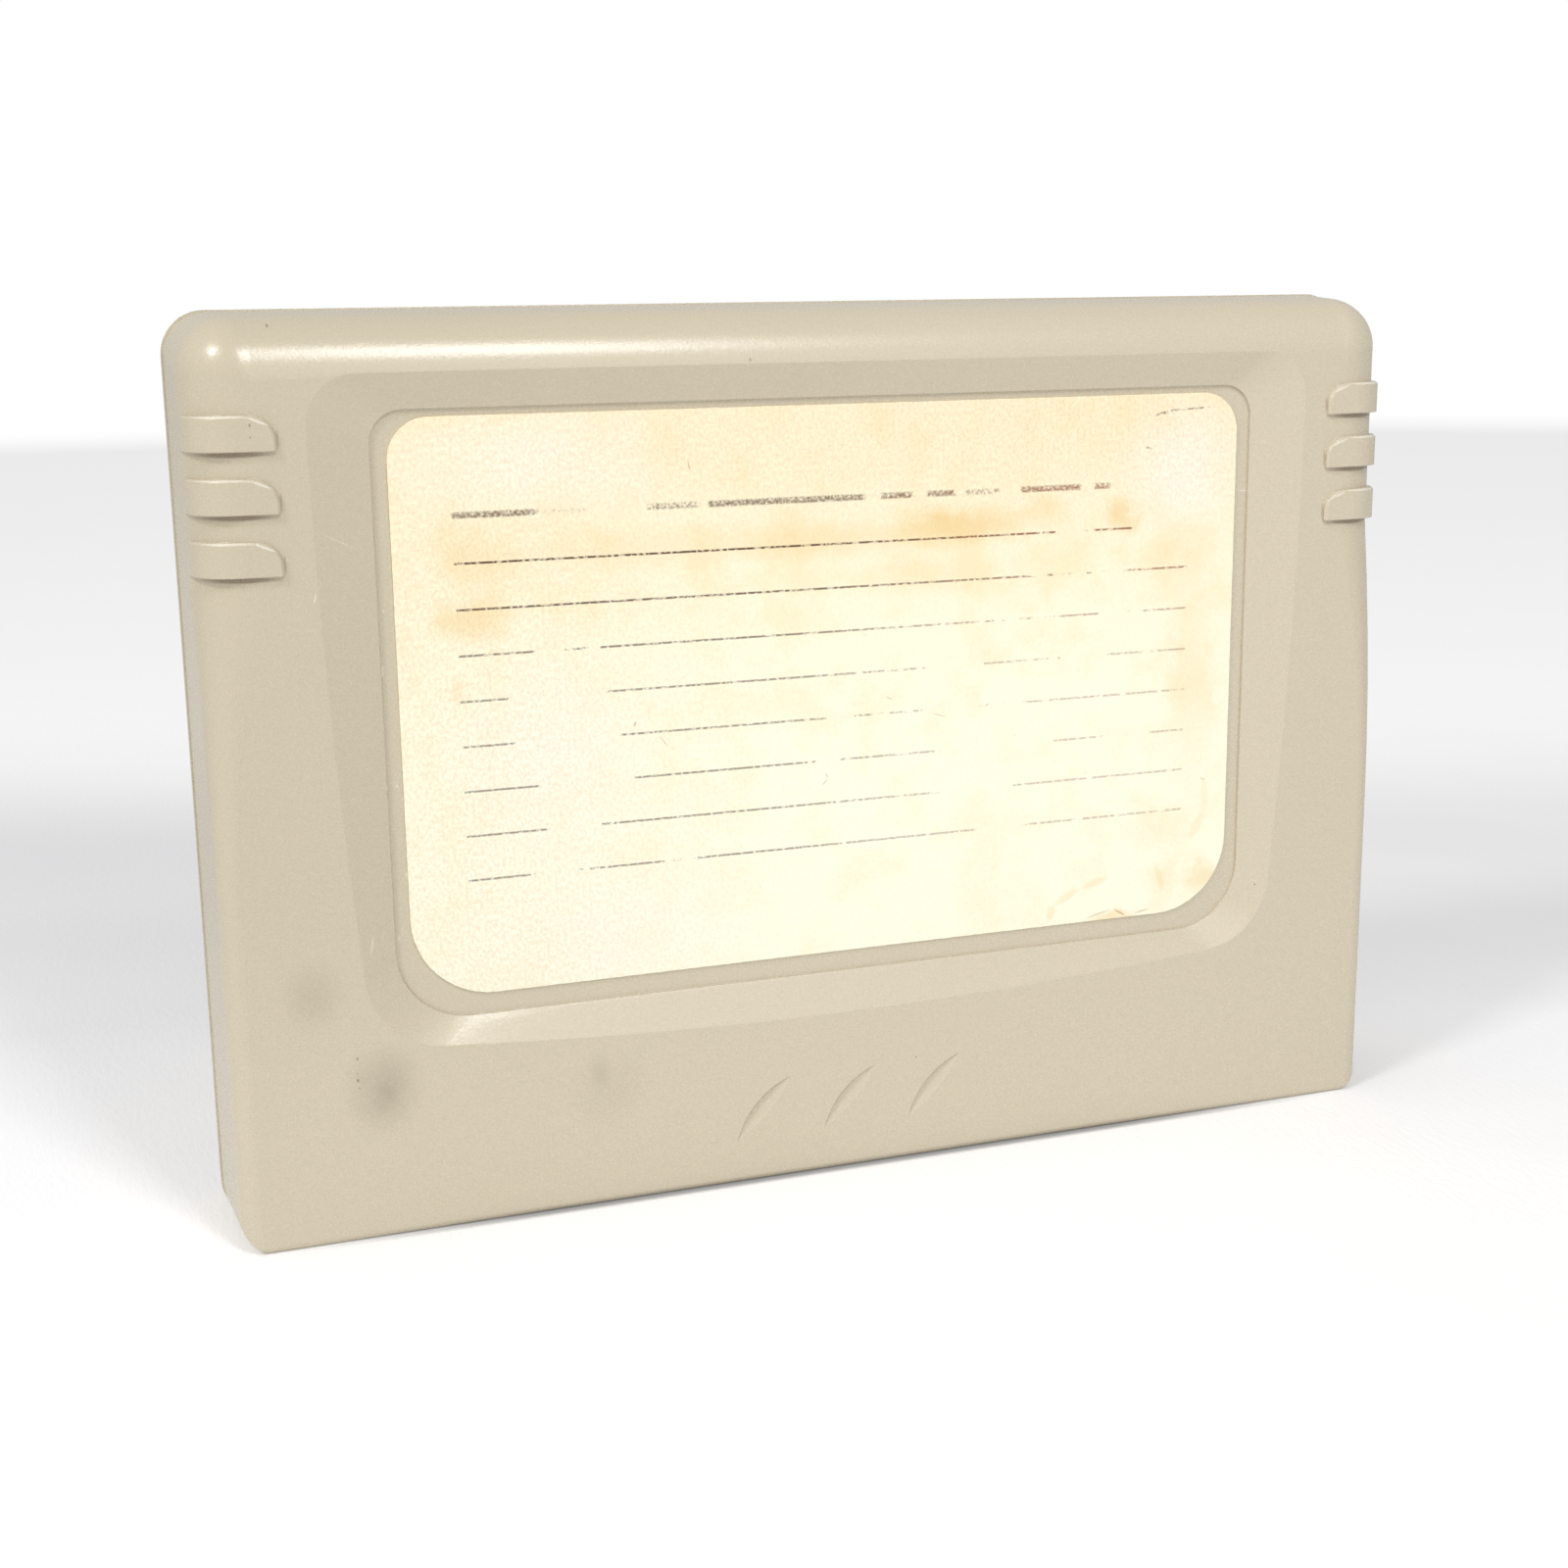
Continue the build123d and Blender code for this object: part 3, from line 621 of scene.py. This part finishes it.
def moulding(name, light, dark, roughness):
    """Cast epoxy or fired ceramic with a fine grain."""
    look = Look(name)
    where = look.front_place()[0]
    grain = look.noise(where, 4.0, detail=3.0)
    clouds = look.noise(where, 0.4, detail=2.0)
    colour = look.mix(look.total([look.product(grain, 0.5), look.product(clouds, 0.5)]), dark, light)
    relief = look.bump(grain, 0.012 * MM)
    rough = look.math("ADD", roughness, look.product(grain, 0.15))
    return look.finish(base_color=colour, roughness=rough, normal=relief)


def cloth():
    """White woven cloth, paling into the distance, with a band of painted shade behind the card and a
    painted contact shadow under its front edge.
    """
    look = Look("white_cloth")
    place = look.node("TexCoord").outputs["Object"]
    where = look.stretch(place, (1 / MM, 1 / MM, 1 / MM))
    weave = look.noise(look.stretch(where, (1.0, 0.35, 1.0)), 1.6, detail=2.0)
    folds = look.noise(where, 0.02, detail=2.0)
    relief = look.bump(weave, 0.05 * MM)
    relief = look.bump(folds, 1.0 * MM, base=relief)
    distance = look.node("VectorMath", {0: where}, operation="LENGTH").outputs["Value"]
    away = (sin(CLOTH_TURN), cos(CLOTH_TURN), 0.0)
    behind = look.node("VectorMath", {0: where, 1: away}, operation="DOT_PRODUCT").outputs["Value"]
    sideways, inwards = look.node("SeparateXYZ", {0: where}).outputs[:2]
    # Painted shade: a grey band on the cloth behind the card, weaker on the right
    painted_shade = look.product(look.rise(behind, *CLOTH_SHADE_BAND[:2]), look.fall(behind, *CLOTH_SHADE_BAND[2:]))
    loss = look.product(look.rise(sideways, *CLOTH_SHADE_RIGHT), CLOTH_SHADE_LOSS)
    colour = look.mix(look.product(painted_shade, look.inverse(loss)), CLOTH_WHITE, CLOTH_SHADE_GREY)
    # Painted contact shadow: a dark line on the cloth in the gap under the card's front edge, fading
    # towards the sides
    inside = look.math("SUBTRACT", inwards, frame_edge / MM)
    contact_shadow = look.rise(inside, -0.7, 0.3)
    under = look.fall(look.math("ABSOLUTE", sideways), 25.0, 54.0)
    contact_shadow = look.product(contact_shadow, look.fall(inside, 2.0, 6.0), under, CONTACT_SHADOW_STRENGTH)
    colour = look.mix(contact_shadow, colour, CONTACT_SHADOW_COLOUR)
    look.finish(base_color=colour, roughness=0.9, normal=relief, specular_ior_level=0.1)

    seen = look.node("LightPath").outputs["Is Camera Ray"]
    glow = look.node("Emission", {"Strength": look.product(seen, CLOTH_GLOW)}).outputs[0]
    lit = look.node("AddShader", {0: look.shader.outputs[0], 1: glow}).outputs[0]
    white = look.node("Emission").outputs[0]
    haze = look.product(look.rise(behind, *CLOTH_HAZE), CLOTH_HAZE_SHARE)
    far = look.math("MAXIMUM", look.rise(distance, *CLOTH_FADE), haze)
    far = look.product(far, seen)
    surface = look.node("MixShader", {0: far, 1: lit, 2: white}).outputs[0]
    look.put(look.tree.nodes["Material Output"].inputs["Surface"], surface)
    return look.material


def lamp(name, direction, watts, size):
    """A soft lamp of the given width and height that faces the middle of the card."""
    light = bpy.data.lights.new(name, "AREA")
    light.energy = watts
    light.shape = "RECTANGLE"
    light.size, light.size_y = size
    lamp_object = bpy.data.objects.new(name, light)
    aim = Vector((0.0, 0.0, cad_box[1][2] / 2))
    lamp_object.location = aim + direction.normalized() * LAMP_DISTANCE
    lamp_object.rotation_euler = direction.to_track_quat("Z", "Y").to_euler()
    bpy.context.collection.objects.link(lamp_object)


def surroundings():
    """Light from all round, seen as plain white."""
    world = bpy.data.worlds.new("surroundings")
    world.use_nodes = True
    sky = Tree(world.node_tree)
    background = sky.tree.nodes["Background"]
    background.inputs["Color"].default_value = (1.0, 1.0, 1.0, 1.0)
    direction = sky.node("TexCoord").outputs["Generated"]
    tilt = sky.node("VectorMath", {0: direction, 1: AMBIENT_TILT}, operation="DOT_PRODUCT").outputs["Value"]
    level = sky.product(sky.math("ADD", 1.0, tilt), AMBIENT)
    path = sky.node("LightPath").outputs
    level = sky.mix(path["Is Glossy Ray"], level, (MIRRORED,) * 4)
    level = sky.mix(path["Is Camera Ray"], level, (1.0,) * 4)
    sky.put(background.inputs["Strength"], level)
    bpy.context.scene.world = world


def floor():
    """A wide level cloth under the card."""
    bpy.ops.mesh.primitive_grid_add(x_subdivisions=8, y_subdivisions=8, size=6.0)
    sheet = bpy.context.object
    sheet.name = "floor"
    sheet.location.z = cad_box[0][2]
    sheet.data.materials.append(cloth())


def camera():
    """The camera at the photographed view."""
    heading, pitch, roll = (radians(a) for a in (CAMERA_HEADING, CAMERA_PITCH, CAMERA_ROLL))
    forward = Vector((sin(heading) * cos(pitch), cos(heading) * cos(pitch), sin(pitch)))
    level_right = Vector((cos(heading), -sin(heading), 0.0))
    level_up = level_right.cross(forward)
    right = level_right * cos(roll) + level_up * sin(roll)
    up = right.cross(forward)
    data = bpy.data.cameras.new("camera")
    data.lens = CAMERA_LENS
    data.sensor_width = SENSOR_WIDTH
    camera_object = bpy.data.objects.new("camera", data)
    turn = Matrix((right, up, -forward)).transposed()
    camera_object.matrix_world = Matrix.Translation(CAMERA_PLACE) @ turn.to_4x4()
    bpy.context.collection.objects.link(camera_object)
    bpy.context.scene.camera = camera_object


finishes = {
    "housing": housing(),
    "label_paper": label_paper(),
    "board": circuit_laminate(),
    "screw_steel": metal("screw_steel", paint(196, 197, 200), paint(158, 160, 164), 0.24, (1.0, 6.0, 1.0)),
    "contact_plating": metal(
        "contact_plating", paint(236, 200, 118), paint(206, 164, 84), 0.2, (1.0, 1.0, 0.1)
    ),
    "lead_plating": metal("lead_plating", paint(214, 214, 214), paint(172, 172, 174), 0.3, (1.0, 1.0, 1.0)),
    "chip_moulding": moulding("chip_moulding", paint(52, 52, 54), paint(34, 34, 36), 0.5),
    "bulk_moulding": moulding("bulk_moulding", paint(222, 176, 70), paint(198, 150, 48), 0.42),
    "ceramic": moulding("ceramic", paint(182, 150, 112), paint(158, 126, 90), 0.5),
}

for subpart in frame["record"]["subparts"]:
    node = frame["nodes"][subpart["node"]]
    node.data.materials.clear()
    node.data.materials.append(finishes[subpart["material_slot"]])

label_sheet()
lamp("front_lamp", FRONT_LAMP_FROM, FRONT_LAMP_WATTS, FRONT_LAMP_SIZE)
lamp("left_lamp", LEFT_LAMP_FROM, LEFT_LAMP_WATTS, LEFT_LAMP_SIZE)
lamp("low_lamp", LOW_LAMP_FROM, LOW_LAMP_WATTS, LOW_LAMP_SIZE)
surroundings()
floor()
camera()
bpy.context.scene.view_settings.view_transform = "Standard"
